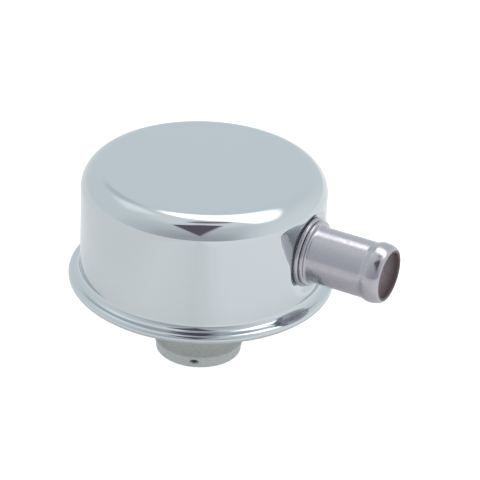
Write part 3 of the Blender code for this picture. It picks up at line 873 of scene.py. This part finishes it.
class BREATHER_OT_stage(bpy.types.Operator):
    """Sets up the floor, the light tent and the camera"""

    bl_idname = "breather.stage"
    bl_label = "Stage"

    def add_floor(self, studio):
        mesh = bmesh.new()
        bmesh.ops.create_grid(mesh, x_segments=1, y_segments=1, size=3.0)
        bmesh.ops.translate(mesh, verts=mesh.verts, vec=(0.0, 0.0, NECK_LOW[2]))
        data = bpy.data.meshes.new("studio_floor")
        mesh.to_mesh(data)
        mesh.free()
        floor = bpy.data.objects.new("studio_floor", data)
        bpy.context.scene.collection.objects.link(floor)
        material = bpy.data.materials.new("white_paper_sweep")
        material.use_nodes = True
        tree = material.node_tree
        tree.nodes.clear()
        rays = add_node(tree, "ShaderNodeLightPath")
        paper = add_node(tree, "ShaderNodeBsdfDiffuse", {"Color": (0.8, 0.8, 0.8, 1.0)})
        lift = add_node(tree, "ShaderNodeEmission", {"Color": WHITE, "Strength": studio.floor_lift})
        seen = add_node(tree, "ShaderNodeAddShader", {0: paper.outputs[0], 1: lift.outputs[0]})
        matt = add_node(tree, "ShaderNodeBsdfDiffuse", {"Color": opaque(studio.floor)})
        # As metal mirrors it, the floor is lit from the right and has a dim fold towards the camera
        place = add_node(tree, "ShaderNodeTexCoord").outputs["Object"]
        side = Vector((math.cos(studio.azimuth), math.sin(studio.azimuth), 0.0))
        across = add_spread(tree, add_dot(tree, place, side), -0.1, 0.1)
        stops = [
            (0.0, 0.27),
            (0.2, 0.32),
            (0.4, 0.29),
            (0.47, 0.26),
            (0.54, 0.29),
            (0.6, 0.35),
            (0.7, 0.385),
            (1.0, 0.4),
        ]
        glow_stops = [(position, scaled(studio.floor_glow, share)) for position, share in stops]
        glows = add_ramp(tree, across, glow_stops)
        # The part shades the floor to 50 mm from its axis, and ever less out to 95 mm
        from_part = {0: place, 1: (0.0, 0.0, NECK_LOW[2])}
        reach = add_node(tree, "ShaderNodeVectorMath", from_part, operation="DISTANCE").outputs["Value"]
        shade = add_spread(tree, reach, 0.05, 0.095, low=0.55, smooth=True)
        glow = add_node(tree, "ShaderNodeEmission", {"Color": glows, "Strength": shade})
        mirrored = add_node(tree, "ShaderNodeAddShader", {0: matt.outputs[0], 1: glow.outputs[0]})
        shown = add_node(
            tree,
            "ShaderNodeMixShader",
            {0: rays.outputs["Is Camera Ray"], 1: mirrored.outputs[0], 2: seen.outputs[0]},
        )
        add_node(tree, "ShaderNodeOutputMaterial", {"Surface": shown.outputs[0]})
        data.materials.append(material)

    def add_world(self, studio):
        """A light tent made of directions only: grey cloth, one bright panel, a dark slit and a few folds."""
        world = bpy.data.worlds.new("light_tent")
        bpy.context.scene.world = world
        world.use_nodes = True
        # Not sampled as a lamp: camera and diffuse rays see plain white, and mirrored rays see the tent
        world.cycles.sampling_method = "NONE"
        tree = world.node_tree
        tree.nodes.clear()
        place = add_node(tree, "ShaderNodeTexCoord").outputs["Generated"]
        turned_back = {"Vector": place, "Rotation": (0.0, 0.0, -studio.azimuth)}
        way = add_node(tree, "ShaderNodeMapping", turned_back, vector_type="VECTOR").outputs["Vector"]
        parts = add_node(tree, "ShaderNodeSeparateXYZ", {"Vector": way})
        # The cloth is dimmest beside the slit
        dimness = add_dot(tree, way, Vector((-0.1, -0.995, 0.0)))
        middle = [(a + b) / 2 for a, b in zip(studio.tent, studio.tent_front)]
        walls = add_ramp(tree, dimness, [(0.2, studio.tent), (0.7, middle), (0.95, studio.tent_front)])
        on_right = add_spread(tree, parts.outputs["X"], 0.4, 1.0, smooth=True)
        cloth = mix_colours(tree, on_right, walls, opaque(studio.tent_right))
        overhead = add_spread(tree, parts.outputs["Z"], 0.8, 0.96, smooth=True)
        tent = mix_colours(tree, overhead, cloth, opaque(studio.tent_high))
        fold = [
            (-9.0, 6.0, 0.04),
            (-2.0, -4.0, 0.04),
            (14.0, -5.0, 0.06),
            (14.0, 3.0, 0.04),
            (0.0, 7.0, 0.04),
        ]
        slit = [(-20.0, 23.0, 0.02), (0.0, 14.3, 0.02), (12.6, 16.0, 0.04), (-1.2, 68.0, 0.03)]
        seam = [(-12.0, -37.0, 0.05), (-24.0, -35.0, 0.06), (-28.0, -47.0, 0.08), (-14.0, -55.0, 0.03)]
        gleam = [(-19.0, -9.0, 0.04), (-20.0, -28.0, 0.06), (-32.0, -34.0, 0.12), (-40.0, -8.0, 0.14)]
        panel = [
            (-12.0, -30.0, 0.05),
            (-2.0, -48.0, 0.06),
            (23.0, -30.0, 0.16),
            (41.0, -15.0, 0.17),
            (41.0, 8.0, 0.12),
            (31.0, 11.0, 0.06),
            (-8.0, -18.0, 0.05),
        ]
        patches = [
            (fold, studio.fold),
            (slit, studio.opening),
            (seam, studio.seam),
            (gleam, scaled(studio.tent_high, studio.gleam)),
            (panel, (studio.softbox,) * 3),
        ]
        for corners, shade in patches:
            tent = mix_colours(tree, patch_mask(tree, way, corners), tent, opaque(shade))
        rays = add_node(tree, "ShaderNodeLightPath")
        plain_rays = {0: rays.outputs["Is Camera Ray"], 1: rays.outputs["Is Diffuse Ray"]}
        plain = add_node(tree, "ShaderNodeMath", plain_rays, operation="MAXIMUM").outputs[0]
        light = add_node(tree, "ShaderNodeBackground", {"Color": mix_colours(tree, plain, tent, WHITE)})
        add_node(tree, "ShaderNodeOutputWorld", {"Surface": light.outputs[0]})

    def add_camera(self, studio):
        data = bpy.data.cameras.new("studio_camera")
        data.lens = studio.lens
        camera = bpy.data.objects.new("studio_camera", data)
        bpy.context.scene.collection.objects.link(camera)
        bpy.context.scene.camera = camera
        turn, rise = studio.azimuth, studio.elevation
        side = Vector((math.cos(turn), math.sin(turn), 0.0))
        back = Vector((math.sin(turn) * math.cos(rise), -math.cos(turn) * math.cos(rise), math.sin(rise)))
        up = back.cross(side)
        right = side * math.cos(studio.roll) + up * math.sin(studio.roll)
        above = up * math.cos(studio.roll) - side * math.sin(studio.roll)
        place = side * studio.look_aside + Vector((0.0, 0.0, studio.look_height)) + back * studio.distance
        camera.matrix_world = Matrix(
            [(right[i], above[i], back[i], place[i]) for i in range(3)] + [(0.0, 0.0, 0.0, 1.0)]
        )

    def execute(self, context):
        studio = context.scene.breather_studio
        self.add_floor(studio)
        self.add_world(studio)
        self.add_camera(studio)
        context.scene.view_settings.view_transform = "Standard"
        return {"FINISHED"}


class BREATHER_PT_sidebar(bpy.types.Panel):
    """Lists the steps that build the breather, with their sizes and colours"""

    bl_idname = "BREATHER_PT_sidebar"
    bl_label = "Push-in Breather"
    bl_space_type = "VIEW_3D"
    bl_region_type = "UI"
    bl_category = "Breather"

    def draw(self, context):
        for step in STEPS:
            self.layout.operator(step.bl_idname)
        for group in GROUPS:
            box = self.layout.box()
            values = getattr(context.scene, group)
            for name in values.__annotations__:
                box.prop(values, name)


GROUPS = {
    "breather_cap": BreatherCapSizes,
    "breather_plates": BreatherPlateSizes,
    "breather_nipple": BreatherNippleSizes,
    "breather_filter": BreatherFilterSizes,
    "breather_finish": BreatherFinishes,
    "breather_studio": BreatherStudio,
}
STEPS = [
    BREATHER_OT_stage,
    BREATHER_OT_cap,
    BREATHER_OT_base,
    BREATHER_OT_neck,
    BREATHER_OT_nipple,
    BREATHER_OT_seals,
    BREATHER_OT_inner_sheets,
    BREATHER_OT_filter,
]


def register():
    for name, group in GROUPS.items():
        bpy.utils.register_class(group)
        setattr(bpy.types.Scene, name, PointerProperty(type=group))
    for step in STEPS:
        bpy.utils.register_class(step)
    bpy.utils.register_class(BREATHER_PT_sidebar)


def unregister():
    bpy.utils.unregister_class(BREATHER_PT_sidebar)
    for step in reversed(STEPS):
        bpy.utils.unregister_class(step)
    for name, group in GROUPS.items():
        delattr(bpy.types.Scene, name)
        bpy.utils.unregister_class(group)


def main():
    register()
    for step in STEPS:
        getattr(bpy.ops.breather, step.bl_idname.split(".")[1])()


if __name__ == "__main__":
    main()
